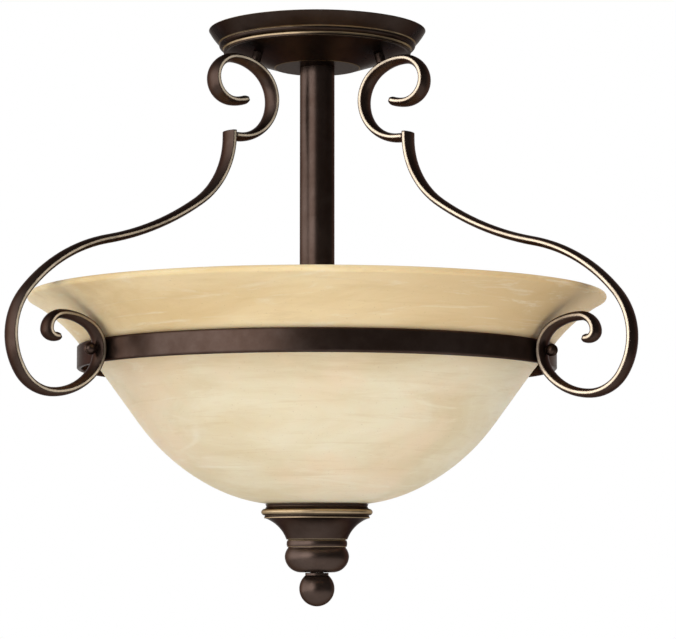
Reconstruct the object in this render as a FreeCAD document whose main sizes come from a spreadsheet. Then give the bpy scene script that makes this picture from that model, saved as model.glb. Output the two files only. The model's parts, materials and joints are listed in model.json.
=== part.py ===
"""Semi flush ceiling light: a glass bowl in a scrolled three-strap frame on a centre stem."""
import FreeCAD, Part
import math
import os

import Sketcher

V = FreeCAD.Vector

# Frame: the origin is where the stem's axis meets the ceiling, +Z is up and -Y faces the viewer.
# Lengths are in millimetres and angles in degrees. A "Drop" is a distance below the ceiling.
SIZES = [
    # stem and centre rod
    ("stemRadius", 12.7), ("stemWall", 1.2), ("stemLength", 209.8),
    ("rodRadius", 4.8), ("rodBore", 3.2), ("rodSink", 0.4), ("nutFlats", 14.0),
    ("nutHeight", 5.0), ("plugHeight", 6.0), ("washerRadius", 12.0), ("washerThickness", 1.5),
    # canopy
    ("canopyRadius", 79.4), ("canopyWall", 1.2), ("canopyDepth", 27.2),
    ("canopyBeadRadius", 71.6), ("canopyBeadDrop", 10.2), ("canopyStepRadius", 68.7),
    ("canopyStepDrop", 13.5), ("canopyUnderRadius", 65.4), ("canopyUnderDrop", 16.0),
    ("canopyDiscRadius", 31.1), ("canopySideBow", 46.0), ("canopyBeadRound", 3.0),
    ("canopyRimRound", 4.0),
    # ceiling crossbar
    ("barLength", 114.0), ("barWidth", 20.0), ("barThickness", 2.6),
    ("boxScrewSpacing", 88.9), ("slotWidth", 4.6), ("slotLength", 12.0),
    ("groundScrewPlace", 22.0), ("groundScrewRadius", 2.0),
    # straps and scrolls
    ("strapWidth", 16.0), ("strapEdge", 2.6), ("strapCrown", 6.4),
    ("armTopRadius", 73.9), ("scrollTopDrop", 26.7), ("scrollBackRadius", 28.2),
    ("scrollShoulderRadius", 27.0), ("scrollRoofRadius", 37.0), ("scrollCurlRadius", 15.7),
    ("scrollTipRadius", 28.0), ("scrollRun", 7.1), ("strapEnd", 0.4), ("bossScrewLength", 6.5),
    ("bossRadius", 3.5), ("bossPlace", 50.4), ("scrollScrewRadius", 2.0),
    ("loopOuterRadius", 48.7), ("loopCornerRadius", 27.8), ("loopFloorRadius", 39.1),
    ("loopInnerRadius", 26.2), ("curlRiseRadius", 20.5), ("curlRoofRadius", 39.0),
    ("curlTurnRadius", 10.6), ("curlEndRadius", 5.4),
    # support ring, its screws and ball knobs
    ("ringRadius", 173.5), ("ringThickness", 3.0), ("ringHeight", 16.5), ("ringDrop", 232.9),
    ("ringScrewRadius", 1.9), ("screwHeadRadius", 3.8), ("screwHeadHeight", 2.2),
    ("knobRadius", 4.4),
    # glass bowl
    ("glassWall", 5.0), ("glassDepth", 113.5), ("glassSlope", 54.0), ("glassSeatRun", 13.6),
    ("lipSlope", 28.0), ("flareRadius", 112.0), ("bellyRadius", 148.7), ("bellySlope", 25.0),
    ("baseRadius", 112.6),
    # lamp holders and bulbs
    ("clusterRadius", 21.0), ("clusterHeight", 32.0), ("clusterBossRadius", 12.0),
    ("holderTilt", 20.0), ("holderSeat", 27.0), ("holderRadius", 18.5), ("holderLength", 38.0),
    ("holderFloor", 6.0), ("shellWall", 0.6), ("bulbCapRadius", 13.2), ("bulbCapLength", 25.0),
    ("bulbRadius", 30.0), ("bulbLength", 105.0), ("bulbWall", 1.0),
    # finial
    ("cupRadius", 37.3), ("cupHeight", 25.4), ("cupWall", 1.6), ("cupBeadRadius", 2.4),
    ("cupFootRadius", 22.0), ("bunRadius", 23.2), ("bunHeight", 23.6), ("ballRadius", 12.7),
    ("neckRadius", 8.4), ("neckHeight", 2.2), ("beadGroove", 0.6),
    # clearances
    ("seatGap", 0.2), ("slideGap", 0.3), ("threadGap", 0.07), ("screwGap", 0.3),
]

# radii of the long strap's S as shares of its drop from the scroll's weld to the ring
ELBOW_SHARE = 0.38
SHOULDER_SHARE = 0.70
SWEEP_SHARE = 1.27

# right turns of the straps in degrees, in the order of their bends
SCROLL_TURNS = {"Back": 90.0, "Shoulder": 55.0, "Roof": 35.0, "Curl": 180.0, "Tip": 19.0}
LOOP_TURNS = {"Outer": 71.0, "Corner": 58.0, "Floor": 50.0, "Inner": 40.0}
CURL_TURNS = {"Rise": 60.0, "Roof": 30.0, "Turn": 90.0, "End": 110.0}

doc = FreeCAD.newDocument("CeilingLight")
sheet = doc.addObject("Spreadsheet::Sheet", "Sizes")


class Size:
    """A number together with the formula that gives it from the cells of the sheet."""

    def __init__(self, value, formula):
        self.value = float(value)
        self.formula = formula

    def join(self, sign, other, value):
        return Size(value, f"({self.formula} {sign} {size(other).formula})")

    def __add__(self, other):
        return self.join("+", other, self.value + size(other).value)

    def __sub__(self, other):
        return self.join("-", other, self.value - size(other).value)

    def __mul__(self, other):
        return self.join("*", other, self.value * size(other).value)

    def __truediv__(self, other):
        return self.join("/", other, self.value / size(other).value)

    def __neg__(self):
        return Size(-self.value, f"(0 - {self.formula})")

    def __float__(self):
        return self.value


def size(number):
    """Wrap a plain number, and leave a Size as it is."""
    return number if isinstance(number, Size) else Size(number, repr(round(float(number), 9)))


def sine(angle):
    return Size(math.sin(math.radians(angle.value)), f"sin({angle.formula} * 1 deg)")


def cosine(angle):
    return Size(math.cos(math.radians(angle.value)), f"cos({angle.formula} * 1 deg)")


def read_sheet():
    """Write the driving dimensions to the sheet and give each back as a Size."""
    cells = {}
    for row, (alias, number) in enumerate(SIZES, start=1):
        sheet.set(f"A{row}", alias)
        sheet.set(f"B{row}", str(number))
        sheet.setAlias(f"B{row}", alias)
        cells[alias] = Size(number, f"Sizes.{alias}")
    doc.recompute()
    return cells


S = read_sheet()
parts = {}


def bind(thing, prop, length):
    """Give a property its value and tie it to the sheet."""
    thing.setExpression(prop, size(length).formula)


# ---------------------------------------------------------------- sketches and features


def new_body(label):
    body = doc.addObject("PartDesign::Body", label)
    body.Label = label
    return body


def new_sketch(body, plane, shift=V()):
    """A sketch on one of the body's own origin planes, moved along it and off it by shift."""
    sketch = body.newObject("Sketcher::SketchObject", f"{body.Label}_sketch")
    support = [f for f in body.Origin.OriginFeatures if f.Role == plane][0]
    sketch.AttachmentSupport = [(support, "")]
    sketch.MapMode = "FlatFace"
    sketch.AttachmentOffset = FreeCAD.Placement(shift, FreeCAD.Rotation())
    return sketch


def fix_point(sketch, geometry, end, x, y):
    """Hold a vertex at its two distances from the sketch's origin."""
    for kind, length in (("DistanceX", x), ("DistanceY", y)):
        number = sketch.addConstraint(Sketcher.Constraint(kind, -1, 1, geometry, end, length.value))
        bind(sketch, f"Constraints[{number}]", length)


def bent_edge(a, b, radius):
    """An arc from a to b under a half turn: radius > 0 turns left, radius < 0 turns right."""
    half = (b - a) / 2
    reach = math.sqrt(max(radius * radius - half.Length ** 2, 0.0))
    side = V(-half.y, half.x, 0).normalize() * math.copysign(1, radius)
    centre = a + half + side * reach
    middle = centre - side * abs(radius)
    return Part.Arc(a, middle, b)


def draw_outline(sketch, outline):
    """Close an outline of (x, y) or (x, y, radius) steps, a radius making an arc to that point."""
    steps = [tuple(size(value) for value in step) for step in outline]
    points = [V(step[0].value, step[1].value, 0) for step in steps]
    for index, step in enumerate(steps):
        start = points[index - 1]
        if len(step) == 3:
            edge = bent_edge(start, points[index], step[2].value)
            made = sketch.addGeometry(edge, False)
            turns_left = step[2].value > 0
            end = 2 if turns_left else 1
            fix_point(sketch, made, end, step[0], step[1])
            number = sketch.addConstraint(Sketcher.Constraint("Radius", made, abs(step[2].value)))
            bind(sketch, f"Constraints[{number}]", step[2] if turns_left else -step[2])
        else:
            made = sketch.addGeometry(Part.LineSegment(start, points[index]), False)
            end = 2
            fix_point(sketch, made, end, step[0], step[1])
        begin = 3 - end
        if index:
            sketch.addConstraint(Sketcher.Constraint("Coincident", last[0], last[1], made, begin))
        else:
            first = (made, begin)
        last = (made, end)
    sketch.addConstraint(Sketcher.Constraint("Coincident", last[0], last[1], first[0], first[1]))


def turned(label, outline):
    """A body turned about Z from an outline of (radius, height) steps."""
    body = new_body(label)
    sketch = new_sketch(body, "XZ_Plane")
    draw_outline(sketch, outline)
    turn = body.newObject("PartDesign::Revolution", f"{label}_turn")
    turn.Profile = sketch
    turn.ReferenceAxis = (sketch, ["V_Axis"])
    turn.Angle = 360
    return body


def keep(node, body, place=None):
    """Name the finished sub-part and put it in its place."""
    body.Label = node
    if place is not None:
        body.Placement = place
    parts[node] = body


def cylinder(label, radius, height, base=V()):
    """A Part cylinder along Z with its foot at base."""
    made = doc.addObject("Part::Cylinder", label)
    bind(made, "Radius", radius)
    bind(made, "Height", height)
    made.Placement.Base = base
    return made


def cut(label, base, *tools):
    """Take each tool from the base in turn."""
    for index, tool in enumerate(tools):
        step = doc.addObject("Part::Cut", f"{label}_cut{index}")
        step.Base = base
        step.Tool = tool
        base = step
    return base


def around(azimuth):
    """Turn about the stem's axis."""
    return FreeCAD.Placement(V(), FreeCAD.Rotation(V(0, 0, 1), azimuth))


# ---------------------------------------------------------------- heights shared by the pieces

ARM_NAMES = {"front_left": 210.0, "front_right": 330.0, "back": 90.0}

stem_top = -S["canopyDepth"]
stem_foot = stem_top - S["stemLength"]
ring_top = -S["ringDrop"]
ring_middle = ring_top - S["ringHeight"] / 2
glass_seat_radius = S["ringRadius"] - S["ringThickness"] - S["seatGap"]
glass_foot = ring_top - S["glassDepth"]


def bowl_outline():
    """Outer points of the bowl's wall: foot, knuckle, belly and the ring's foot."""
    steep = S["glassSlope"]
    gentle = S["bellySlope"]
    knuckle_rise = S["baseRadius"] * (size(1) - cosine(gentle))
    belly_rise = knuckle_rise + S["bellyRadius"] * (cosine(gentle) - cosine(steep))
    seat_foot = (glass_seat_radius - S["glassSeatRun"], ring_top - S["ringHeight"])
    wall_fall = seat_foot[1] - glass_foot - belly_rise
    belly = (seat_foot[0] - wall_fall * cosine(steep) / sine(steep), glass_foot + belly_rise)
    knuckle = (belly[0] - S["bellyRadius"] * (sine(steep) - sine(gentle)),
               glass_foot + knuckle_rise)
    foot = (knuckle[0] - S["baseRadius"] * sine(gentle), glass_foot)
    return foot, knuckle, belly, seat_foot


def finial_seat():
    """Height of the finial's top edge, just under the bowl's round base."""
    off_foot = S["cupRadius"] - S["cupWall"] - bowl_outline()[0][0]
    return glass_foot + off_foot * off_foot / (S["baseRadius"] * 2) - S["slideGap"]


finial_top = finial_seat()


def ring_around(label, outer, inner, height):
    """A flat round ring standing on its own origin."""
    blank = cylinder(f"{label}_blank", outer, height)
    hole = cylinder(f"{label}_hole", inner, height)
    return cut(label, blank, hole)


def hex_nut(label):
    """A hexagon nut that fits the centre rod, standing on its own origin."""
    blank = doc.addObject("Part::Prism", f"{label}_blank")
    blank.Polygon = 6
    bind(blank, "Circumradius", S["nutFlats"] / math.sqrt(3))
    bind(blank, "Height", S["nutHeight"])
    hole = cylinder(f"{label}_hole", S["rodRadius"] + S["threadGap"], S["nutHeight"])
    return cut(label, blank, hole)


# ---------------------------------------------------------------- ceiling hardware


def make_crossbar():
    """A steel bar with two slots for the box screws, the rod's hole and the ground screw's."""
    body = new_body("ceiling_crossbar")
    sketch = new_sketch(body, "XY_Plane")
    end = S["barLength"] / 2
    side = S["barWidth"] / 2
    draw_outline(sketch, [(-end, -side), (end, -side), (end, side), (-end, side)])
    pad = body.newObject("PartDesign::Pad", "crossbar_pad")
    pad.Profile = sketch
    bind(pad, "Length", S["barThickness"])
    pad.Reversed = True
    body.Tip = pad
    holes = [
        cylinder("rod_hole", S["rodRadius"] + S["threadGap"], S["barThickness"]),
        cylinder("ground_hole", S["groundScrewRadius"] + S["threadGap"], S["barThickness"]),
    ]
    bind(holes[1], "Placement.Base.x", S["groundScrewPlace"])
    for hole in holes:
        bind(hole, "Placement.Base.z", -S["barThickness"])
    reach = (S["slotLength"] - S["slotWidth"]) / 2
    for name, centre in (("left", -S["boxScrewSpacing"] / 2), ("right", S["boxScrewSpacing"] / 2)):
        middle = doc.addObject("Part::Box", f"{name}_slot")
        bind(middle, "Length", S["slotLength"] - S["slotWidth"])
        bind(middle, "Width", S["slotWidth"])
        bind(middle, "Height", S["barThickness"])
        bind(middle, "Placement.Base.x", centre - reach)
        bind(middle, "Placement.Base.y", -S["slotWidth"] / 2)
        bind(middle, "Placement.Base.z", -S["barThickness"])
        holes.append(middle)
        for shift in (-reach, reach):
            rounded = cylinder(f"{name}_slot_end", S["slotWidth"] / 2, S["barThickness"])
            bind(rounded, "Placement.Base.x", centre + shift)
            bind(rounded, "Placement.Base.z", -S["barThickness"])
            holes.append(rounded)
    keep("ceiling_crossbar", cut("ceiling_crossbar", body, *holes))


def make_ground_screw():
    """A round-head screw up through the crossbar, head below it."""
    head = S["groundScrewRadius"] * 2
    low = -S["screwHeadHeight"]
    body = turned("ground_screw", [
        (0, low), (head * 0.7, low), (head, 0, head), (S["groundScrewRadius"], 0),
        (S["groundScrewRadius"], S["barThickness"]), (0, S["barThickness"])])
    keep("ground_screw", body)
    bind(body, "Placement.Base.x", S["groundScrewPlace"])
    bind(body, "Placement.Base.z", -S["barThickness"])


def make_rod_hardware():
    """The hollow centre rod from the crossbar to the finial, with its nuts and washers."""
    foot = finial_top - S["cupHeight"] - S["bunHeight"] - S["neckHeight"] - S["ballRadius"] * 0.6
    top = -S["rodSink"]
    keep("centre_rod", turned("centre_rod", [
        (S["rodBore"], foot), (S["rodRadius"], foot), (S["rodRadius"], top), (S["rodBore"], top)]))
    canopy_floor = stem_top + S["canopyWall"]
    bowl_floor = glass_foot + S["glassWall"]
    hole = S["rodRadius"] + S["screwGap"]
    washers = {"canopy_washer": canopy_floor, "bowl_washer": bowl_floor}
    for name, height in washers.items():
        made = ring_around(name, S["washerRadius"], hole, S["washerThickness"])
        keep(name, made)
        bind(made, "Placement.Base.z", height)
    nuts = {
        "crossbar_nut": -S["barThickness"] - S["nutHeight"],
        "canopy_nut": canopy_floor + S["washerThickness"],
        "cluster_nut": stem_foot - S["clusterHeight"] - S["nutHeight"],
        "bowl_nut": bowl_floor + S["washerThickness"],
    }
    for name, height in nuts.items():
        made = hex_nut(name)
        keep(name, made)
        bind(made, "Placement.Base.z", height)


# ---------------------------------------------------------------- canopy and stem


def under_slope():
    """Angle of the canopy's sloping underside from level, in radians."""
    run = S["canopyUnderRadius"] - S["canopyDiscRadius"]
    fall = S["canopyDepth"] - S["canopyUnderDrop"]
    return math.atan2(fall.value, run.value)


def boss_seat():
    """Where a scroll's boss meets the canopy, and the way that the boss points from there."""
    slope = under_slope()
    along = S["bossPlace"].value - S["canopyDiscRadius"].value
    point = V(S["bossPlace"].value, 0, -S["canopyDepth"].value + along * math.tan(slope))
    return point, V(math.sin(slope), 0, -math.cos(slope))


def make_canopy():
    """A spun pan: convex side, bead, step, sloping underside and a flat disc round the stem."""
    wall = S["canopyWall"]
    bow = S["canopySideBow"]
    depth = S["canopyDepth"]
    under = S["canopyUnderDrop"]
    step = S["canopyStepDrop"]
    bead = S["canopyBeadRadius"]
    bead_low = -step + (step - S["canopyBeadDrop"]) * 0.45
    # the inner face of the sloping underside lies one wall above the outer one
    inset = wall * math.tan(under_slope() / 2)
    hole = S["rodRadius"] + S["screwGap"]
    body = turned("canopy", [
        (hole, -depth), (S["canopyDiscRadius"], -depth), (S["canopyUnderRadius"], -under),
        (S["canopyStepRadius"], -under, S["canopyRimRound"]), (S["canopyStepRadius"], -step),
        (bead, bead_low, S["canopyBeadRound"]),
        (bead, -S["canopyBeadDrop"], S["canopyBeadRound"] / 2),
        (S["canopyRadius"], 0, bow), (S["canopyRadius"] - wall, 0),
        (bead - wall, -S["canopyBeadDrop"], -bow), (S["canopyStepRadius"] - wall, -step + wall),
        (S["canopyStepRadius"] - wall, -under + wall),
        (S["canopyUnderRadius"] - inset, -under + wall),
        (S["canopyDiscRadius"] - inset, -depth + wall), (hole, -depth + wall)])
    seat, down = boss_seat()
    tools = []
    for azimuth in ARM_NAMES.values():
        hole = cylinder("screw_hole", S["scrollScrewRadius"] + S["screwGap"], S["canopyWall"] * 8)
        tip = FreeCAD.Placement(seat + down * (4 * S["canopyWall"].value),
                                FreeCAD.Rotation(V(0, 0, 1), -down))
        hole.Placement = around(azimuth).multiply(tip)
        tools.append(hole)
    keep("canopy", cut("canopy", body, *tools))


def make_stem():
    """The tube, and the plug that centres it on the rod under the canopy."""
    inner = S["stemRadius"] - S["stemWall"]
    tube = ring_around("stem_tube", S["stemRadius"], inner, S["stemLength"])
    keep("stem_tube", tube)
    bind(tube, "Placement.Base.z", stem_foot)
    plug = ring_around("stem_plug", inner - S["threadGap"], S["rodRadius"] + S["threadGap"],
                       S["plugHeight"])
    keep("stem_plug", plug)
    bind(plug, "Placement.Base.z", stem_top - S["plugHeight"])


# ---------------------------------------------------------------- straps


def arc_chain(start, heading, turns):
    """Follow tangent arcs of (degrees, radius) from a point, left turns positive.

    A step of 0 degrees is a straight line of that length. The end comes back with the edges.
    """
    edges = []
    angle = math.radians(heading)
    for degrees, radius in turns:
        if degrees == 0:
            end = start + V(math.cos(angle), math.sin(angle), 0) * radius
            edges.append(Part.LineSegment(start, end))
            start = end
            continue
        side = math.copysign(1, degrees)
        sweep = math.radians(degrees)
        centre = start + V(-math.sin(angle), math.cos(angle), 0) * side * radius
        points = []
        for turned_by in (angle + sweep / 2, angle + sweep):
            points.append(centre + V(math.sin(turned_by), -math.cos(turned_by), 0) * side * radius)
        edges.append(Part.Arc(start, points[0], points[1]))
        start = points[1]
        angle += sweep
    return edges, start


def right_turns(prefix, turns):
    """Steps for arc_chain: each bend's turn with its radius from the sheet."""
    return [(-degrees, S[f"{prefix}{bend}Radius"].value) for bend, degrees in turns.items()]


def strap_section(sketch):
    """The strap's section: two narrow edges, and both wide faces crowned."""
    half = S["strapWidth"] / 2
    edge = S["strapEdge"] / 2
    rise = S["strapCrown"] / 2 - edge
    bow = (half * half + rise * rise) / (rise * 2)
    draw_outline(sketch, [(-edge, -half, bow), (edge, -half), (edge, half, bow), (-edge, half)])


def bent_strap(label, plane, path_edges):
    """A strap swept along tangent edges of the body's XZ plane, starting square to the plane."""
    body = new_body(label)
    path = new_sketch(body, "XZ_Plane")
    for edge in path_edges:
        path.addGeometry(edge, False)
    start = path_edges[0].StartPoint
    shift = V(start.x, 0, start.y) if plane == "XY_Plane" else V(0, start.y, start.x)
    section = new_sketch(body, plane, shift)
    strap_section(section)
    if plane == "YZ_Plane":
        section.AttachmentOffset = FreeCAD.Placement(shift, FreeCAD.Rotation(V(0, 0, 1), 90))
    doc.recompute()
    pipe = body.newObject("PartDesign::AdditivePipe", f"{label}_pipe")
    pipe.Profile = section
    pipe.Spine = (path, [f"Edge{number}" for number in range(1, len(path_edges) + 1)])
    return body


def scroll_path():
    """The C-scroll from its weld on the long strap, under and up its back, to the curl's tip."""
    rise = (S["scrollBackRadius"].value
            + S["scrollShoulderRadius"].value * math.sin(math.radians(SCROLL_TURNS["Shoulder"]))
            + S["scrollRoofRadius"].value * (1 - math.cos(math.radians(SCROLL_TURNS["Roof"]))))
    start = V(S["armTopRadius"].value, -S["scrollTopDrop"].value - rise, 0)
    run = (0, S["scrollRun"].value)
    edges, _ = arc_chain(start, 180.0, [run, *right_turns("scroll", SCROLL_TURNS)])
    return edges


def strap_path():
    """The long strap: down from the scroll's weld, an S out over the bowl, the loop and curl.

    The loop runs down the outside, along its floor and up to the ring, and the curl goes on from
    there. The S joins the loop to the top with three tangent arcs: an elbow and a shoulder whose
    radii follow the drop, and a wide sweep between them.
    """
    weld = scroll_path()[0].StartPoint
    contact = V((S["ringRadius"] + S["seatGap"] + S["strapCrown"] / 2).value, ring_middle.value, 0)
    # the strap points straight up where it meets the ring
    shoulder_heading = sum(LOOP_TURNS.values()) - 270.0
    loop = right_turns("loop", LOOP_TURNS)
    _, loop_end = arc_chain(V(), shoulder_heading, loop)
    loop_start = contact - loop_end
    drop = weld.y - contact.y
    elbow = drop * ELBOW_SHARE
    shoulder = drop * SHOULDER_SHARE
    sweep = drop * SWEEP_SHARE
    elbow_centre = weld + V(elbow, 0, 0)
    down_right = math.radians(shoulder_heading)
    shoulder_centre = loop_start + V(math.sin(down_right), -math.cos(down_right), 0) * shoulder
    # the sweep's circle holds the elbow's inside it and touches the shoulder's from outside
    across = shoulder_centre - elbow_centre
    far = sweep - elbow
    near = sweep + shoulder
    along = (far ** 2 - near ** 2 + across.Length ** 2) / (2 * across.Length)
    aside = math.sqrt(far ** 2 - along ** 2)
    unit = V(across).normalize()
    sweep_centre = elbow_centre + unit * along + V(-unit.y, unit.x, 0) * aside
    leaving = elbow_centre - sweep_centre
    elbow_turn = (math.degrees(math.atan2(leaving.y, leaving.x)) - 180.0) % 360.0
    meeting = shoulder_centre - sweep_centre
    sweep_turn = (math.degrees(math.atan2(meeting.y, meeting.x)) - 180.0 - elbow_turn) % 360.0
    shoulder_turn = shoulder_heading - (-90.0 + elbow_turn + sweep_turn)
    above = S["strapCrown"].value / 2 + S["strapEnd"].value
    edges, _ = arc_chain(weld + V(0, above, 0), -90.0, [
        (0, above), (elbow_turn, elbow), (sweep_turn, sweep), (shoulder_turn, shoulder),
        *loop, *right_turns("curl", CURL_TURNS)])
    return edges


def boss_length(path_edges):
    """How far a scroll's boss reaches from the canopy to the middle of the strap."""
    seat, down = boss_seat()
    wire = Part.Wire([edge.toShape() for edge in path_edges])
    flat_seat = V(seat.x, seat.z, 0)
    ray = Part.LineSegment(flat_seat, flat_seat + V(down.x, down.z, 0) * 40).toShape()
    return wire.distToShape(ray)[1][0][1].sub(flat_seat).Length


def make_arms():
    """Three long straps round the bowl, each with a C-scroll welded under the canopy."""
    contact_hole = S["ringScrewRadius"] + S["screwGap"]
    seat, down = boss_seat()
    length = boss_length(scroll_path())
    upright = FreeCAD.Rotation(V(0, 0, 1), -down)
    outward = FreeCAD.Rotation(V(0, 0, 1), V(1, 0, 0))
    gap = S["seatGap"].value / 2
    for name, azimuth in ARM_NAMES.items():
        strap = bent_strap(f"strap_{name}", "XY_Plane", strap_path())
        strap.Placement = around(azimuth)
        hole = cylinder("knob_hole", contact_hole, S["strapCrown"] * 3)
        start = V(S["ringRadius"].value - S["strapCrown"].value, 0, ring_middle.value)
        hole.Placement = around(azimuth).multiply(FreeCAD.Placement(start, outward))
        arm = cut(f"arm_{name}", strap, hole)
        keep(f"arm_{name}", arm)
        scroll = bent_strap(f"c_{name}", "YZ_Plane", scroll_path())
        scroll.Placement = around(azimuth)
        boss = cylinder("boss", S["bossRadius"], length - gap)
        place = FreeCAD.Placement(seat + down * length, upright)
        boss.Placement = around(azimuth).multiply(place)
        whole = doc.addObject("Part::Fuse", f"scroll_{name}_fuse")
        whole.Base = scroll
        whole.Tool = boss
        depth = length - S["strapCrown"].value / 2
        bore = cylinder("boss_bore", S["scrollScrewRadius"] + S["threadGap"], depth)
        bore.Placement = around(azimuth).multiply(
            FreeCAD.Placement(seat + down * depth, upright))
        keep(f"scroll_{name}", cut(f"scroll_{name}", whole, strap, bore))


def machine_screw(label, radius, length):
    """A pan-head screw: head above its own origin, shank below it."""
    head = S["screwHeadRadius"]
    return turned(label, [
        (0, -length), (radius, -length), (radius, 0), (head, 0), (head, S["screwHeadHeight"] / 2),
        (head - 1.0, S["screwHeadHeight"]), (0, S["screwHeadHeight"])])


def make_arm_screws():
    """Screws from inside the canopy into the bosses, and through the ring into ball knobs."""
    seat, down = boss_seat()
    gap = S["seatGap"].value / 2
    for name, azimuth in ARM_NAMES.items():
        screw = machine_screw(f"scroll_screw_{name}", S["scrollScrewRadius"], S["bossScrewLength"])
        under_head = seat - down * (S["canopyWall"].value + gap)
        place = FreeCAD.Placement(under_head, FreeCAD.Rotation(V(0, 0, 1), -down))
        keep(f"scroll_screw_{name}", screw, around(azimuth).multiply(place))
        through = S["ringThickness"] + S["seatGap"] + S["strapCrown"] + S["knobRadius"] * 1.3
        screw = machine_screw(f"ring_screw_{name}", S["ringScrewRadius"], through)
        inside = V((S["ringRadius"] - S["ringThickness"]).value - gap, 0, ring_middle.value)
        inward = FreeCAD.Rotation(V(0, 0, 1), V(-1, 0, 0))
        keep(f"ring_screw_{name}", screw,
             around(azimuth).multiply(FreeCAD.Placement(inside, inward)))
        base = inside + V(gap + (S["ringThickness"] + S["seatGap"] + S["strapCrown"]
                                 + S["slideGap"]).value, 0, 0)
        outward = FreeCAD.Rotation(V(0, 0, 1), V(1, 0, 0))
        keep(f"ring_knob_{name}", ball_knob(f"ring_knob_{name}"),
             around(azimuth).multiply(FreeCAD.Placement(base, outward)))


def ball_knob(label):
    """A threaded ball with a flat foot and a blind bore."""
    ball = S["knobRadius"]
    foot = ball * 0.66
    centre = ball * 0.86
    depth = ball * 1.45
    bore = S["ringScrewRadius"] + S["threadGap"]
    meets = centre - Size(math.sqrt(ball.value ** 2 - foot.value ** 2),
                          f"sqrt({ball.formula} ^ 2 - {foot.formula} ^ 2)")
    return turned(label, [
        (bore, 0), (foot, 0), (foot, meets), (ball, centre, ball), (0, centre + ball, ball),
        (0, depth), (bore, depth)])


# ---------------------------------------------------------------- ring and glass


def make_ring():
    """The flat band that carries the bowl, drilled for the three knobs' screws."""
    outer = S["ringRadius"]
    inner = outer - S["ringThickness"]
    ease = S["ringThickness"] * 0.25
    low = ring_top - S["ringHeight"]
    body = turned("support_ring", [
        (inner, low), (outer - ease, low), (outer, low + ease), (outer, ring_top - ease),
        (outer - ease, ring_top), (inner, ring_top)])
    holes = []
    for azimuth in ARM_NAMES.values():
        hole = cylinder("ring_hole", S["ringScrewRadius"] + S["screwGap"], S["ringThickness"] * 3)
        start = V(inner.value - S["ringThickness"].value, 0, ring_middle.value)
        outward = FreeCAD.Rotation(V(0, 0, 1), V(1, 0, 0))
        hole.Placement = around(azimuth).multiply(FreeCAD.Placement(start, outward))
        holes.append(hole)
    keep("support_ring", cut("support_ring", body, *holes))


def make_glass():
    """The bowl: flared lip, straight wall through the ring, round belly and a flat foot."""
    wall = S["glassWall"]
    steep = S["glassSlope"]
    gentle = S["bellySlope"]
    lip = S["lipSlope"]
    hole = S["rodRadius"] + S["screwGap"] * 4
    foot, knuckle, belly, seat_foot = bowl_outline()
    seat_top = (glass_seat_radius, ring_top)
    flare_top = (glass_seat_radius + S["flareRadius"] * (sine(steep) - sine(lip)),
                 ring_top + S["flareRadius"] * (cosine(lip) - cosine(steep)))

    def inside(point, angle):
        return point[0] - wall * sine(angle), point[1] + wall * cosine(angle)

    level = Size(0.0, "0")
    body = turned("glass_bowl", [
        (hole, glass_foot), foot, (*knuckle, S["baseRadius"]), (*belly, S["bellyRadius"]),
        seat_foot, seat_top, (*flare_top, -S["flareRadius"]),
        (*inside(flare_top, lip), wall / 2 + 0.01),
        (*inside(seat_top, steep), S["flareRadius"] + wall), inside(seat_foot, steep),
        inside(belly, steep), (*inside(knuckle, gentle), -(S["bellyRadius"] - wall)),
        (*inside(foot, level), -(S["baseRadius"] - wall)), (hole, glass_foot + wall)])
    keep("glass_bowl", body)


# ---------------------------------------------------------------- lamp holders and bulbs

LAMP_AZIMUTHS = {"right": 30.0, "left": 150.0, "front": 270.0}


def lamp_place(azimuth, distance):
    """A place on a lamp's tilted axis, at a distance from the stem's axis, +Z along the lamp."""
    tilt = math.radians(S["holderTilt"].value)
    ray = V(math.cos(tilt), 0, math.sin(tilt))
    middle = V(0, 0, (stem_foot - S["clusterHeight"] * 0.6).value)
    local = FreeCAD.Placement(middle + ray * distance, FreeCAD.Rotation(V(0, 0, 1), ray))
    return around(azimuth).multiply(local)


def make_cluster():
    """The hub under the stem, with a round seat for each lamp holder and the rod's bore."""
    top = stem_foot
    low = top - S["clusterHeight"]
    ease = S["clusterRadius"] * 0.15
    bore = S["rodRadius"] + S["screwGap"]
    spigot = S["stemRadius"] - S["stemWall"] - S["threadGap"]
    hub = turned("hub", [
        (0, low), (S["clusterRadius"] - ease, low), (S["clusterRadius"], low + ease),
        (S["clusterRadius"], top - ease), (S["clusterRadius"] - ease, top), (spigot, top),
        (spigot, top + S["plugHeight"]), (0, top + S["plugHeight"])])
    shapes = [hub]
    for name, azimuth in LAMP_AZIMUTHS.items():
        seat = cylinder(f"{name}_seat", S["clusterBossRadius"], S["holderSeat"] / 2)
        seat.Placement = lamp_place(azimuth, S["holderSeat"].value / 2)
        shapes.append(seat)
    whole = doc.addObject("Part::MultiFuse", "cluster_fuse")
    whole.Shapes = shapes
    whole.Refine = False
    hole = cylinder("cluster_bore", bore, S["clusterHeight"] * 2)
    bind(hole, "Placement.Base.z", low - S["clusterHeight"] / 4)
    keep("cluster_body", cut("cluster_body", whole, hole))


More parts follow.
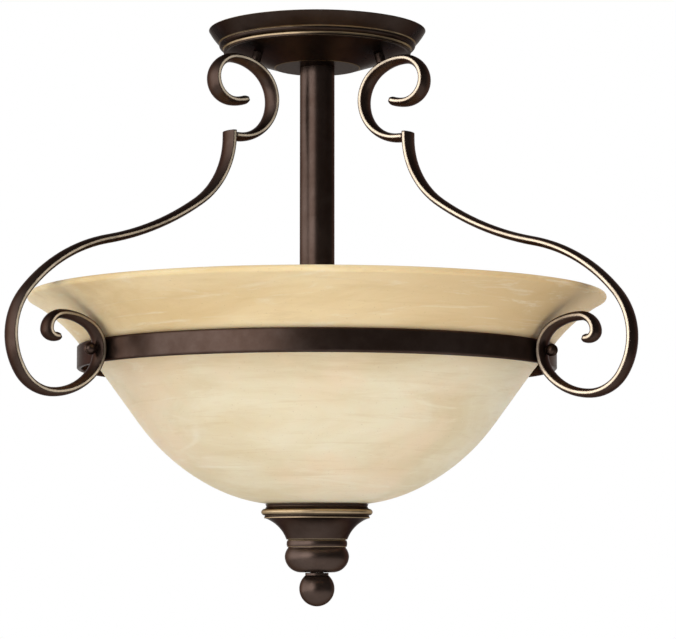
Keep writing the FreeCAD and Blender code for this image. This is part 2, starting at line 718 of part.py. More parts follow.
def make_lamps():
    """Each lamp holder with its screw shell, and its bulb: a screw cap and a glass envelope."""
    shell_inner = S["bulbCapRadius"] + S["slideGap"]
    shell_outer = shell_inner + S["shellWall"]
    seat = S["holderSeat"].value
    cap_start = seat + (S["holderFloor"] + S["slideGap"]).value
    for name, azimuth in LAMP_AZIMUTHS.items():
        outer = S["holderRadius"]
        ease = outer * 0.1
        holder = turned(f"lamp_holder_{name}", [
            (0, 0), (outer - ease, 0), (outer, ease, ease), (outer, S["holderLength"]),
            (shell_outer, S["holderLength"]), (shell_outer, S["holderFloor"]),
            (0, S["holderFloor"])])
        keep(f"lamp_holder_{name}", holder, lamp_place(azimuth, seat))
        shell = ring_around(f"screw_shell_{name}", shell_outer, shell_inner,
                            S["bulbCapLength"] * 0.9)
        keep(f"screw_shell_{name}", shell,
             lamp_place(azimuth, seat + S["holderFloor"].value))
        keep(f"bulb_cap_{name}", bulb_cap(f"bulb_cap_{name}"), lamp_place(azimuth, cap_start))
        keep(f"bulb_glass_{name}", bulb_envelope(f"bulb_glass_{name}"),
             lamp_place(azimuth, cap_start + S["bulbCapLength"].value))


def bulb_cap(label):
    """A thin screw cap with a small foot contact, open towards the glass."""
    neck = S["bulbCapRadius"]
    length = S["bulbCapLength"]
    wall = S["bulbWall"]
    return turned(label, [
        (0, 0), (neck * 0.35, 0), (neck * 0.8, length * 0.12), (neck, length * 0.2),
        (neck, length), (neck - wall, length), (neck - wall, length * 0.2 + wall),
        (neck * 0.8 - wall, length * 0.12 + wall), (0, length * 0.12 + wall)])


def bulb_envelope(label):
    """A blown round envelope with an open neck that stands in the cap."""
    neck = S["bulbCapRadius"]
    wall = S["bulbWall"]
    length = S["bulbLength"] - S["bulbCapLength"]
    ball = S["bulbRadius"]
    middle = length - ball
    shoulder = middle - ball * 0.34
    reach = ball * 0.94
    throat = length * 0.12
    return turned(label, [
        (neck - wall, 0), (neck, 0), (neck + wall, throat), (reach, shoulder, -60.0),
        (ball, middle, ball), (0, length, ball), (0, length - wall),
        (ball - wall, middle, -(ball - wall)), (reach - wall, shoulder, -(ball - wall)),
        (neck, throat, 60.0)])


# ---------------------------------------------------------------- finial


def make_cup():
    """The finial's cup: a collar, a bead and a step over a deep hollow curve."""
    wall = S["cupWall"]
    radius = S["cupRadius"]
    bead = S["cupBeadRadius"]
    hole = S["rodRadius"] + S["slideGap"]
    foot = -S["cupHeight"]
    floor = foot + wall * 1.6
    ledge = -(S["cupHeight"] * 0.4)
    bead_top = -(S["cupHeight"] * 0.13)
    bead_low = bead_top - bead * 2
    curve = S["cupHeight"]
    step = radius + wall / 2
    neck = radius + wall / 8
    waist = radius - wall / 2
    body = turned("finial_cup", [
        (hole, foot), (S["cupFootRadius"], foot), (radius, ledge, -curve),
        (step, ledge), (step, ledge + wall * 0.6), (neck, bead_low),
        (neck + bead * 1.15, bead_low + bead, bead * 1.1), (neck, bead_top, bead * 1.1),
        (waist, bead_top / 2, -bead * 2.5), (radius, 0, -bead * 2.5), (radius - wall, 0),
        (radius - wall, ledge), (S["cupFootRadius"], floor, curve), (hole, floor)])
    keep("finial_cup", body)
    bind(body, "Placement.Base.z", finial_top)


def make_bun():
    """The narrow bead and the round bun below it."""
    big = S["bunRadius"]
    hole = S["rodRadius"] + S["slideGap"]
    low = -S["bunHeight"]
    corner = S["bunHeight"] / 2
    groove = S["beadGroove"]
    belt = S["cupFootRadius"] - groove
    neck = belt - groove
    waist = -(S["bunHeight"] * 0.25)
    body = turned("finial_bun", [
        (hole, low), (big - corner, low), (big, low + corner, corner),
        (neck, waist, corner * 0.95), (neck, waist + groove), (belt, waist + groove),
        (belt, -groove, corner / 2), (neck, -groove), (neck, 0), (hole, 0)])
    keep("finial_bun", body)
    bind(body, "Placement.Base.z", finial_top - S["cupHeight"])


def make_ball():
    """The ball nut that closes the finial, threaded on the rod's end."""
    ball = S["ballRadius"]
    neck = S["neckRadius"]
    bore = S["rodRadius"] + S["threadGap"]
    centre = -S["neckHeight"] - ball * 0.72
    meets = Size(math.sqrt(ball.value ** 2 - neck.value ** 2),
                 f"sqrt({ball.formula} ^ 2 - {neck.formula} ^ 2)")
    floor = -S["neckHeight"] - ball * 0.75
    body = turned("finial_ball", [
        (0, floor), (0, centre - ball), (ball, centre, ball), (neck, centre + meets, ball),
        (neck, 0), (bore, 0), (bore, floor)])
    keep("finial_ball", body)
    bind(body, "Placement.Base.z", finial_top - S["cupHeight"] - S["bunHeight"] - S["slideGap"])


# ---------------------------------------------------------------- build, check and write


def check_and_write():
    """Stop at any failed object or bad sub-part, then write one STEP file for each node."""
    doc.recompute()
    failed = [thing.Name for thing in doc.Objects if {"Invalid", "Error"} & set(thing.State)]
    if failed:
        raise RuntimeError(f"failed objects: {failed}")
    os.makedirs("parts", exist_ok=True)
    for node, body in parts.items():
        shape = body.Shape
        if shape.isNull() or not shape.isValid() or not shape.Solids:
            raise RuntimeError(f"bad shape: {node}")
        shape.exportStep(os.path.join("parts", f"{node}.step"))
        print(f"{node}: {len(shape.Solids)} solid, {shape.Volume / 1000:.2f} cm3")


make_crossbar()
make_ground_screw()
make_rod_hardware()
make_canopy()
make_stem()
make_arms()
make_arm_screws()
make_ring()
make_glass()
make_cluster()
make_lamps()
make_cup()
make_bun()
make_ball()
check_and_write()
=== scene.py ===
"""Looks of the semi flush ceiling light: materials, small detail, studio light and camera."""

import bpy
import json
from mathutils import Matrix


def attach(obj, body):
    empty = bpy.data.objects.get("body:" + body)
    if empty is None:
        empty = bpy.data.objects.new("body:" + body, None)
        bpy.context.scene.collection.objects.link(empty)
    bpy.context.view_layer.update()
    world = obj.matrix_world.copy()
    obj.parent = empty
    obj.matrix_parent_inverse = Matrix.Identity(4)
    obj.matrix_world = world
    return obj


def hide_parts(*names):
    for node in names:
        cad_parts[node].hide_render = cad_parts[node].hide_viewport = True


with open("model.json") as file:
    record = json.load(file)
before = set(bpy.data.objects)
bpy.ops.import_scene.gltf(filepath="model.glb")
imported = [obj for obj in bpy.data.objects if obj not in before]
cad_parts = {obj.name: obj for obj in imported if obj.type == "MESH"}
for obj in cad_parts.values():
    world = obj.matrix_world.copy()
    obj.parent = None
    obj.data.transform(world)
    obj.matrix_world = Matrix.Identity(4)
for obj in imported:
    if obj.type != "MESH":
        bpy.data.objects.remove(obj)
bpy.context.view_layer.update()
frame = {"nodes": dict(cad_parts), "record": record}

import json
import math

import bmesh
import bpy
from mathutils import Matrix, Vector

MM = 0.001
NODES = frame["nodes"]
SLOT_OF = {part["node"]: part["material_slot"] for part in frame["record"]["subparts"]}
ARM_AZIMUTHS = {"front_left": 210.0, "front_right": 330.0, "back": 90.0}
LAMP_AZIMUTHS = {"right": 30.0, "left": 150.0, "front": 270.0}
X_AXIS = (1.0, 0.0, 0.0)
Y_AXIS = (0.0, 1.0, 0.0)
Z_AXIS = (0.0, 0.0, 1.0)

# sizes of the solids that the materials and the detail pieces go by
STRAP_WIDTH = 16.0 * MM
STRAP_CROWN = 6.4 * MM
STRAP_EDGE = 2.6 * MM
WELD_PLACE = (73.9 * MM, -83.71 * MM)
CANOPY_SLOPE = math.atan2(11.2, 34.3)
BOSS_SEAT = (50.4 * MM, -20.9 * MM)
BOSS_LENGTH = 10.78 * MM
BOSS_RADIUS = 3.6 * MM
RING_INNER = 170.4 * MM
RING_MIDDLE = -241.15 * MM
LAMP_TILT = math.radians(20.0)
ROD_PITCH = 0.94 * MM
CAP_PITCH = 3.6 * MM


# ---------------------------------------------------------------- shader helpers


class Nodes:
    """A node tree, with one short call for each kind of node that is used."""

    def __init__(self, tree):
        self.tree = tree

    def add(self, kind, **settings):
        node = self.tree.nodes.new(kind)
        for key, value in settings.items():
            setattr(node, key, value)
        return node

    def wire(self, value, socket):
        """Link an output to a socket, or set the socket to a plain value."""
        if isinstance(value, bpy.types.NodeSocket):
            self.tree.links.new(value, socket)
        else:
            socket.default_value = value

    def math(self, operation, a, b=0.0, c=0.0):
        node = self.add("ShaderNodeMath", operation=operation)
        for socket, value in zip(node.inputs, (a, b, c)):
            self.wire(value, socket)
        return node.outputs[0]

    def dot(self, vector, direction):
        node = self.add("ShaderNodeVectorMath", operation="DOT_PRODUCT")
        self.wire(vector, node.inputs[0])
        self.wire(direction, node.inputs[1])
        return node.outputs["Value"]

    def ramp(self, value, low, high, to_low=0.0, to_high=1.0):
        """A smooth step from to_low to to_high while value goes from low to high."""
        node = self.add("ShaderNodeMapRange", interpolation_type="SMOOTHSTEP")
        for socket, number in zip(node.inputs, (value, low, high, to_low, to_high)):
            self.wire(number, socket)
        return node.outputs[0]


class Shader(Nodes):
    """A material with its Principled surface."""

    def __init__(self, name):
        self.material = bpy.data.materials.new(name)
        self.material.use_nodes = True
        super().__init__(self.material.node_tree)
        self.surface = self.tree.nodes["Principled BSDF"]
        self.place = self.add("ShaderNodeTexCoord").outputs["Object"]

    def set(self, socket, value):
        self.wire(value, self.surface.inputs[socket])

    def stretch(self, scale):
        """The object's own coordinates, scaled along each axis."""
        node = self.add("ShaderNodeMapping")
        self.wire(self.place, node.inputs["Vector"])
        self.wire(scale, node.inputs["Scale"])
        return node.outputs["Vector"]

    def noise(self, scale, detail=4.0, roughness=0.55, vector=None, distortion=0.0):
        node = self.add("ShaderNodeTexNoise")
        self.wire(vector or self.place, node.inputs["Vector"])
        self.wire(scale, node.inputs["Scale"])
        self.wire(detail, node.inputs["Detail"])
        self.wire(roughness, node.inputs["Roughness"])
        self.wire(distortion, node.inputs["Distortion"])
        return node.outputs["Fac"]

    def mix(self, share, a, b):
        """Colour a turning into colour b by share."""
        node = self.add("ShaderNodeMix", data_type="RGBA")
        self.wire(share, node.inputs["Factor"])
        for index, colour in ((6, a), (7, b)):
            if not isinstance(colour, bpy.types.NodeSocket):
                colour = (*colour, 1.0)
            self.wire(colour, node.inputs[index])
        return node.outputs[2]

    def clouded(self, cloud, low, high, a, b):
        """Colour a where the cloud is under low, colour b where it is over high."""
        return self.mix(self.ramp(cloud, low, high), a, b)

    def rounded(self, radius):
        """The surface's normal as if its edges were rounded off to this radius."""
        bevel = self.add("ShaderNodeBevel", samples=8)
        self.wire(radius, bevel.inputs["Radius"])
        return bevel.outputs["Normal"]

    def edge(self, radius, low, high):
        """1 on convex edges: where the rounded normal leaves the true one."""
        flat = self.add("ShaderNodeNewGeometry").outputs["Normal"]
        same = self.dot(self.rounded(radius), flat)
        return self.ramp(same, high, low)

    def bump(self, height, strength, distance, normal=None):
        node = self.add("ShaderNodeBump")
        self.wire(height, node.inputs["Height"])
        self.wire(strength, node.inputs["Strength"])
        self.wire(distance, node.inputs["Distance"])
        if normal is not None:
            self.wire(normal, node.inputs["Normal"])
        self.set("Normal", node.outputs["Normal"])

    def ridges(self, axis, pitch, strength, distance):
        """A thread's ridges, a pitch apart along an axis."""
        turns = self.math("MULTIPLY", self.dot(self.place, axis), 2.0 * math.pi / pitch)
        self.bump(self.math("SINE", turns), strength, distance)

    def height(self):
        """Height in the frame, which is 0 at the ceiling and falls below it."""
        return self.dot(self.place, Z_AXIS)

    def off_axis(self):
        """Distance from the stem's axis."""
        flat = self.add("ShaderNodeVectorMath", operation="MULTIPLY")
        self.wire(self.place, flat.inputs[0])
        self.wire((1.0, 1.0, 0.0), flat.inputs[1])
        length = self.add("ShaderNodeVectorMath", operation="LENGTH")
        self.wire(flat.outputs[0], length.inputs[0])
        return length.outputs["Value"]

    def near_rings(self, rings):
        """How near it is to turned edges given as (radius, height, width, strength), in mm.

        Each is at its strength in the core share of its width, and fades out at the width.
        """
        radius = self.off_axis()
        height = self.height()
        core = 0.4
        share = 0.0
        for ring_radius, ring_height, width, strength in rings:
            aside = self.math("SUBTRACT", radius, ring_radius * MM)
            above = self.math("SUBTRACT", height, ring_height * MM)
            square = self.math("MULTIPLY_ADD", above, above, self.math("MULTIPLY", aside, aside))
            away = self.math("SQRT", square)
            this = self.ramp(away, width * MM, width * core * MM, 0.0, strength)
            share = this if share == 0.0 else self.math("MAXIMUM", share, this)
        return share


# ---------------------------------------------------------------- materials

# bronze: its two clouded colours, its tint at grazing angles, and how metallic it is
BRONZE_DARK = (0.062, 0.038, 0.029)
BRONZE_WARM = (0.102, 0.071, 0.059)
BRONZE_GRAZING = (0.32, 0.29, 0.27, 1.0)
BRONZE_METAL = 0.92

# worn places, and painted highlight lines on the straps and turned pieces: their colours, and how
# much of one a plain edge shows
GOLD = (0.92, 0.74, 0.47)
STRAP_GOLD_AND_HIGHLIGHT = (0.88, 0.74, 0.56)
TURNED_GOLD_AND_HIGHLIGHT = (0.82, 0.62, 0.38)
EDGE_WEAR = 0.35

# the radius that edges look rounded to, and how much the canopy and the cup are darkened as
# painted shade
EDGE_EASE = 0.7 * MM
RING_EASE = 2.4 * MM
CANOPY_PAINTED_SHADE = 0.52
CUP_PAINTED_SHADE = 0.75

# raised edges rubbed to gold, with painted highlights on the beads: radius, height, half width in
# mm, and strength
CANOPY_RINGS = [(72.0, -9.7, 0.6, 0.30), (68.8, -14.0, 1.0, 0.55), (31.1, -27.2, 0.5, 0.30)]
CUP_RINGS = [(40.2, -351.7, 2.2, 0.65), (38.1, -356.1, 0.7, 0.7), (22.0, -371.4, 0.6, 0.5)]
BUN_RINGS = [(21.4, -372.0, 0.5, 0.6), (21.4, -376.7, 0.5, 0.6), (11.4, -395.0, 0.5, 0.3)]

# the strap's gold line, rubbed gold with a painted highlight, starts and is full at these
# distances from the strap's middle
LINE_REACH = (STRAP_WIDTH * 0.494, STRAP_WIDTH * 0.499)
# where it leaves the lower curl: outward, upward and downward, each from faint to clear
CURL_OUT = (0.204, 0.218)
CURL_TOP = (-0.215, -0.200)
CURL_FOOT = (-0.250, -0.262)
CURL_FAINT = 0.50


def bronze(name, rub_and_highlight_from=None, edge_wear=EDGE_WEAR, painted_shade_scale=1.0, ease=EDGE_EASE, gold=GOLD,
           gold_metal=0.45):
    """Dark oil-rubbed bronze, satin, worn to gold on its edges and gold where the given rub
    function says: rubbed gold with painted highlight lines.

    Its colour is scaled by its shade factor, a painted shade where it is below 1, and ease is the
    radius that its edges look rounded to. The worn places and painted highlight lines have the
    colour gold and are as metallic as gold_metal.
    """
    shader = Shader(name)
    drift = shader.noise(11.0, 3.0, 0.5)
    cloud = shader.noise(70.0, 5.0, 0.6)
    fine = shader.noise(620.0, 3.0)
    # painted shade: a factor below 1 darkens the whole piece
    dark = tuple(channel * painted_shade_scale for channel in BRONZE_DARK)
    warm = tuple(channel * painted_shade_scale for channel in BRONZE_WARM)
    blotch = shader.math("MULTIPLY_ADD", cloud, 0.35, shader.math("MULTIPLY", drift, 0.65))
    body = shader.clouded(blotch, 0.36, 0.64, dark, warm)
    wear_and_highlight = shader.math("MULTIPLY", shader.edge(0.5 * MM, 0.84, 0.97), edge_wear)
    # rubbed gold and painted highlight lines, from the given rub function
    if rub_and_highlight_from is not None:
        wear_and_highlight = shader.math("MAXIMUM", wear_and_highlight, rub_and_highlight_from(shader))
    patchy = shader.ramp(shader.noise(60.0, 3.0, 0.6), 0.30, 0.60, 0.70, 1.0)
    rub_and_highlight = shader.math("MULTIPLY", wear_and_highlight, patchy)
    shader.set("Base Color", shader.mix(rub_and_highlight, body, gold))
    shader.set("Metallic", shader.ramp(rub_and_highlight, 0.0, 1.0, BRONZE_METAL, gold_metal))
    shader.set("Specular Tint", BRONZE_GRAZING)
    shader.set("Roughness", shader.ramp(fine, 0.25, 0.75, 0.28, 0.36))
    shader.bump(fine, 0.05, 0.10 * MM, shader.rounded(ease))
    return shader.material


def strap_bronze(name, azimuth):
    """Bronze of one strap, with a gold line along both of its narrow edges: rubbed gold and a
    painted highlight.
    """
    turn = math.radians(azimuth)
    across = (-math.sin(turn), math.cos(turn), 0.0)

    def edges(shader):
        reach = shader.math("ABSOLUTE", shader.dot(shader.place, across))
        on_edge = shader.ramp(reach, *LINE_REACH)
        # painted highlight: the line keeps to the flat middle of the narrow edge, away from its
        # rounded corners
        corner = shader.edge(1.5 * MM, 0.996, 0.9998)
        line = shader.math("MULTIPLY", on_edge, shader.math("SUBTRACT", 1.0, corner))
        # the gold and painted highlight line is fainter on the lower curl
        height = shader.height()
        past_curl = shader.ramp(shader.off_axis(), *CURL_OUT)
        above_curl = shader.ramp(height, *CURL_TOP)
        below_curl = shader.ramp(height, *CURL_FOOT)
        clear = shader.math("MAXIMUM", past_curl, shader.math("MAXIMUM", above_curl, below_curl))
        return shader.math("MULTIPLY", line, shader.ramp(clear, 0.0, 1.0, CURL_FAINT, 1.0))

    return bronze(name, edges, edge_wear=0.0, gold=STRAP_GOLD_AND_HIGHLIGHT)


def turned_bronze(name, rings, painted_shade_scale=1.0):
    """Bronze of a turned piece, rubbed to gold along its raised edges, with painted highlights on
    its beads.
    """
    return bronze(name, lambda shader: shader.near_rings(rings), painted_shade_scale=painted_shade_scale, gold=TURNED_GOLD_AND_HIGHLIGHT,
                  gold_metal=1.0)


def alabaster():
    """Cream glass with wispy streaks, pale veins and specks, tan in the flare, with painted shade
    on the flare's +X side.
    """
    cream = (0.74, 0.61, 0.39)
    pale = (0.83, 0.74, 0.54)
    rose = (0.86, 0.67, 0.46)
    tan = (0.73, 0.54, 0.28)
    light_tan = (0.88, 0.71, 0.43)
    painted_shade_tan = (0.62, 0.42, 0.20)
    wisp_white = (0.90, 0.82, 0.64)
    streak_brown = (0.62, 0.44, 0.22)
    vein_white = (0.97, 0.92, 0.79)
    speck_brown = (0.42, 0.29, 0.14)
    shader = Shader("alabaster_glass")
    flare = shader.ramp(shader.height(), -0.262, -0.222)
    clouds = shader.noise(5.0, 6.0, 0.6, shader.stretch((1.0, 1.0, 4.0)), 1.2)
    wisps = shader.noise(11.0, 8.0, 0.68, shader.stretch((1.0, 1.0, 9.0)), 1.8)
    streaks = shader.noise(16.0, 6.0, 0.7, shader.stretch((1.0, 1.0, 14.0)), 0.6)
    tints = shader.noise(13.0, 4.0, 0.5)
    below = shader.clouded(clouds, 0.36, 0.66, cream, pale)
    below = shader.mix(shader.ramp(tints, 0.48, 0.66, 0.0, 0.60), below, rose)
    above = shader.clouded(clouds, 0.35, 0.65, tan, light_tan)
    # painted shade: the flare darker towards its +X side
    shaded_side = shader.ramp(shader.dot(shader.place, (1.0, -0.15, 0.0)), 0.0, 0.20, 0.0, 0.75)
    above = shader.mix(shaded_side, above, painted_shade_tan)
    colour = shader.mix(flare, below, above)
    colour = shader.mix(shader.ramp(wisps, 0.52, 0.72, 0.0, 0.45), colour, wisp_white)
    colour = shader.mix(shader.ramp(streaks, 0.50, 0.30, 0.0, 0.24), colour, streak_brown)
    vein = shader.math("MULTIPLY", veins(shader), shader.ramp(flare, 0.0, 1.0, 1.0, 0.3))
    colour = shader.mix(vein, colour, vein_white)
    specks = shader.noise(900.0, 2.0, 0.5)
    colour = shader.mix(shader.ramp(specks, 0.68, 0.76, 0.0, 0.45), colour, speck_brown)
    shader.set("Base Color", colour)
    shader.set("Roughness", shader.ramp(wisps, 0.3, 0.7, 0.42, 0.56))
    shader.set("Subsurface Weight", 0.35)
    shader.set("Subsurface Radius", (1.0, 0.7, 0.4))
    shader.set("Subsurface Scale", 6.0 * MM)
    shader.set("Specular IOR Level", 0.16)
    shader.bump(shader.noise(60.0, 4.0), 0.08, 0.4 * MM)
    return shader.material


def veins(shader):
    """Thin pale lines that run nearly level, fading in and out."""
    field = shader.noise(2.4, 1.0, 0.5, shader.stretch((1.0, 1.0, 14.0)), 0.0)
    away = shader.math("ABSOLUTE", shader.math("SUBTRACT", field, 0.5))
    line = shader.ramp(away, 0.012, 0.0)
    shown = shader.ramp(shader.noise(9.0, 3.0), 0.48, 0.64, 0.0, 0.45)
    return shader.math("MULTIPLY", line, shown)


def zinc_steel(name="zinc_steel", pitch=None):
    """Dull zinc plating with faint clouds; a pitch adds a thread's ridges along Z."""
    grey = (0.50, 0.50, 0.49)
    yellowed = (0.62, 0.59, 0.52)
    bright = (0.75, 0.74, 0.72)
    shader = Shader(name)
    cloud = shader.noise(70.0, 4.0)
    colour = shader.clouded(cloud, 0.35, 0.65, grey, yellowed)
    shader.set("Base Color", shader.mix(shader.edge(0.3 * MM, 0.8, 0.97), colour, bright))
    shader.set("Metallic", 1.0)
    shader.set("Roughness", shader.ramp(shader.noise(300.0), 0.3, 0.7, 0.32, 0.46))
    if pitch is None:
        shader.bump(cloud, 0.08, 0.1 * MM)
    else:
        shader.ridges(Z_AXIS, pitch, 0.9, 0.3 * MM)
    return shader.material


def green_screw():
    """Green-dyed steel, slightly clouded."""
    shader = Shader("ground_green")
    cloud = shader.noise(500.0, 4.0)
    shader.set("Base Color", shader.clouded(cloud, 0.4, 0.6, (0.03, 0.20, 0.07),
                                            (0.06, 0.30, 0.11)))
    shader.set("Metallic", 0.6)
    shader.set("Roughness", 0.35)
    shader.bump(cloud, 0.1, 0.1 * MM)
    return shader.material


def porcelain():
    """White glazed porcelain with a faint orange-peel glaze."""
    shader = Shader("holder_white")
    cloud = shader.noise(45.0, 3.0)
    shader.set("Base Color", shader.clouded(cloud, 0.3, 0.7, (0.76, 0.74, 0.69),
                                            (0.83, 0.81, 0.77)))
    shader.set("Roughness", 0.18)
    shader.set("Coat Weight", 0.4)
    shader.bump(shader.noise(180.0, 2.0), 0.06, 0.2 * MM)
    return shader.material


def lamp_axis(azimuth):
    """The direction in which a lamp holder points."""
    turn = math.radians(azimuth)
    level = math.cos(LAMP_TILT)
    return level * math.cos(turn), level * math.sin(turn), math.sin(LAMP_TILT)


def cap_brass(name, azimuth):
    """Thin pressed brass with a rolled thread, slightly browned in clouds."""
    shader = Shader(name)
    cloud = shader.noise(120.0, 5.0)
    shader.set("Base Color", shader.clouded(cloud, 0.35, 0.7, (0.70, 0.50, 0.20),
                                            (0.80, 0.63, 0.32)))
    shader.set("Metallic", 1.0)
    shader.set("Roughness", shader.ramp(cloud, 0.3, 0.7, 0.24, 0.38))
    shader.ridges(lamp_axis(azimuth), CAP_PITCH, 0.8, 0.5 * MM)
    return shader.material


def frosted():
    """White inside-frosted bulb glass."""
    shader = Shader("bulb_frosted")
    cloud = shader.noise(30.0, 3.0)
    shader.set("Base Color", shader.clouded(cloud, 0.3, 0.7, (0.86, 0.85, 0.82),
                                            (0.91, 0.90, 0.88)))
    shader.set("Roughness", 0.22)
    shader.set("Subsurface Weight", 0.25)
    shader.set("Subsurface Radius", (1.0, 0.9, 0.8))
    shader.set("Subsurface Scale", 3.0 * MM)
    shader.bump(shader.noise(700.0, 2.0), 0.03, 0.1 * MM)
    return shader.material


def dress_frame():
    """Give every carried-over node its material, and return the materials by slot or node."""
    made = {
        "bronze": bronze("bronze"), "alabaster_glass": alabaster(), "zinc_steel": zinc_steel(),
        "ground_green": green_screw(), "holder_white": porcelain(), "bulb_frosted": frosted(),
        # the canopy and the cup are darker copies of the bronze: painted shade
        "canopy": turned_bronze("bronze_canopy", CANOPY_RINGS, CANOPY_PAINTED_SHADE),
        "finial_cup": turned_bronze("bronze_cup", CUP_RINGS, CUP_PAINTED_SHADE),
        "finial_bun": turned_bronze("bronze_bun", BUN_RINGS),
        "support_ring": bronze("bronze_ring", edge_wear=0.0, ease=RING_EASE),
        "centre_rod": zinc_steel("threaded_steel", ROD_PITCH),
    }
    for name, azimuth in ARM_AZIMUTHS.items():
        made[f"arm_{name}"] = made[f"scroll_{name}"] = strap_bronze(f"bronze_{name}", azimuth)
    for name, azimuth in LAMP_AZIMUTHS.items():
        brass = cap_brass(f"cap_brass_{name}", azimuth)
        made[f"bulb_cap_{name}"] = made[f"screw_shell_{name}"] = brass
    for node, thing in NODES.items():
        material = made[node] if node in made else made[SLOT_OF[node]]
        for holder in thing.material_slots:
            holder.material = material
    return made


# ---------------------------------------------------------------- detail pieces

CIRCLE_POINTS = 32

# a pan head's sizes, its outline and the rings of its top as shares of them, and its doming
HEAD_RADIUS = 3.8 * MM
HEAD_HEIGHT = 2.2 * MM
HEAD_OUTLINE = ((0.97, 0.0), (1.0, 0.12), (1.0, 0.45), (0.93, 0.78))
HEAD_RINGS = (0.80, 0.66, 0.57, 0.54, 0.46, 0.38, 0.30, 0.22, 0.14, 0.07)
HEAD_DOME = 0.16

# the screws' thread, which eases in over its first steps from a thinner tip
SCREW_PITCH = 0.8 * MM
STEPS_PER_TURN = 4.0
THREAD_DEPTH = 0.16
TIP_SHARE = 0.8
TIP_STEPS = 5.0

# radius and length of each kind of screw, and the scroll's one's height over its boss's seat
SCROLL_SCREW = (2.0 * MM, 6.5 * MM)
RING_SCREW = (1.9 * MM, 15.3 * MM)
SCROLL_SCREW_LIFT = 1.3 * MM

# weld beads: points along and round them, radius, and the depth and beat of their ripples
WELD_STEPS = 40
WELD_SIDES = 12
WELD_SPAN = 0.94
WELD_RADIUS = 0.62 * MM
WELD_RIPPLE = 0.10 * MM
WELD_BEAT = 1.9
BOSS_WELD_STEPS = 48
BOSS_WELD_SIDES = 10
BOSS_WELD_RADIUS = 0.70 * MM
BOSS_WELD_RIPPLE = 0.08 * MM
BOSS_WELD_BEAT = 2.1


def skin(name, rows, material, closed=False):
    """A mesh over rows of points; its ends are capped, or joined to each other if closed."""
    shape = bmesh.new()
    grid = [[shape.verts.new(point) for point in row] for row in rows]
    following = grid[1:] + grid[:1] if closed else grid[1:]
    for low, high in zip(grid, following):
        for index in range(len(low)):
            after = (index + 1) % len(low)
            face = shape.faces.new((low[index], low[after], high[after], high[index]))
            face.smooth = True
    if not closed:
        shape.faces.new(list(reversed(grid[0])))
        shape.faces.new(grid[-1])
    bmesh.ops.recalc_face_normals(shape, faces=shape.faces)
    mesh = bpy.data.meshes.new(name)
    shape.to_mesh(mesh)
    shape.free()
    mesh.materials.append(material)
    piece = bpy.data.objects.new(name, mesh)
    bpy.context.scene.collection.objects.link(piece)
    return piece


def circle(radius, height):
    """Points of a level ring, with a radius given as a number or a function of the share."""
    points = []
    for index in range(CIRCLE_POINTS):
        share = index / CIRCLE_POINTS
        reach = radius(share) if callable(radius) else radius
        turn = 2.0 * math.pi * share
        points.append(Vector((reach * math.cos(turn), reach * math.sin(turn), height)))
    return points


def cross_recess(point):
    """How deep a cross-head recess is at a point of the screw's top."""
    recess_reach = HEAD_RADIUS * 0.55
    arm_half_width = HEAD_RADIUS * 0.13
    cone_reach = HEAD_RADIUS * 0.62
    full_depth = HEAD_HEIGHT * 0.75
    reach = math.hypot(point.x, point.y)
    arm = min(abs(point.x), abs(point.y))
    if reach > recess_reach:
        return 0.0
    slot = max(0.0, 1.0 - (arm / arm_half_width) ** 4)
    return full_depth * slot * (1.0 - reach / cone_reach)


def pan_screw(name, radius, length, place, material):
    """A pan-head screw with a cross recess and a cut thread, its head along the place's +Z."""
    rows = []
    for step in range(int(length / (SCREW_PITCH / STEPS_PER_TURN)) + 1):
        low = -length + step * SCREW_PITCH / STEPS_PER_TURN

        def ridged(share, step=step):
            phase = (step / STEPS_PER_TURN + share) % 1.0
            ease = min(1.0, (step + 1) / TIP_STEPS)
            ridge = 1.0 - THREAD_DEPTH * abs(2.0 * phase - 1.0)
            return radius * ridge * (TIP_SHARE + (1.0 - TIP_SHARE) * ease)

        rows.append(circle(ridged, min(low, -0.05 * MM)))
    rows.append(circle(radius, 0.0))
    for share, up in HEAD_OUTLINE:
        rows.append(circle(HEAD_RADIUS * share, HEAD_HEIGHT * up))
    for share in HEAD_RINGS:
        row = circle(HEAD_RADIUS * share, HEAD_HEIGHT)
        for point in row:
            point.z = HEAD_HEIGHT * (1.0 - HEAD_DOME * share ** 2) - cross_recess(point)
        rows.append(row)
    rows = [[place @ point for point in row] for row in rows]
    return skin(name, rows, material)


def make_screws(steel):
    """Finer screws in place of the plain ones inside the canopy and the ring."""
    slope = Matrix.Rotation(-CANOPY_SLOPE, 4, "Y")
    inward = Matrix.Rotation(math.radians(-90.0), 4, "Y")
    up = Vector((-math.sin(CANOPY_SLOPE), 0.0, math.cos(CANOPY_SLOPE)))
    seat = Vector((BOSS_SEAT[0], 0.0, BOSS_SEAT[1])) + up * SCROLL_SCREW_LIFT
    for name, azimuth in ARM_AZIMUTHS.items():
        turn = Matrix.Rotation(math.radians(azimuth), 4, "Z")
        top = turn @ Matrix.Translation(seat) @ slope
        piece = pan_screw(f"scroll_pan_screw_{name}", *SCROLL_SCREW, top, steel)
        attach(piece, "fixture")
        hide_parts(f"scroll_screw_{name}")
        side = turn @ Matrix.Translation((RING_INNER, 0.0, RING_MIDDLE)) @ inward
        piece = pan_screw(f"ring_pan_screw_{name}", *RING_SCREW, side, steel)
        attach(piece, "fixture")
        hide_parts(f"ring_screw_{name}")


def strap_half(across):
    """Half the strap's thickness at a distance across it: crowned between narrow edges."""
    share = across / (STRAP_WIDTH / 2.0)
    return STRAP_EDGE / 2.0 + (STRAP_CROWN - STRAP_EDGE) / 2.0 * (1.0 - share ** 2)


def ring_round(centre, first, second, radius, count):
    """Points round a centre, in the plane of two directions that are square to each other."""
    points = []
    for step in range(count):
        turn = 2.0 * math.pi * step / count
        points.append(centre + (first * math.cos(turn) + second * math.sin(turn)) * radius)
    return points


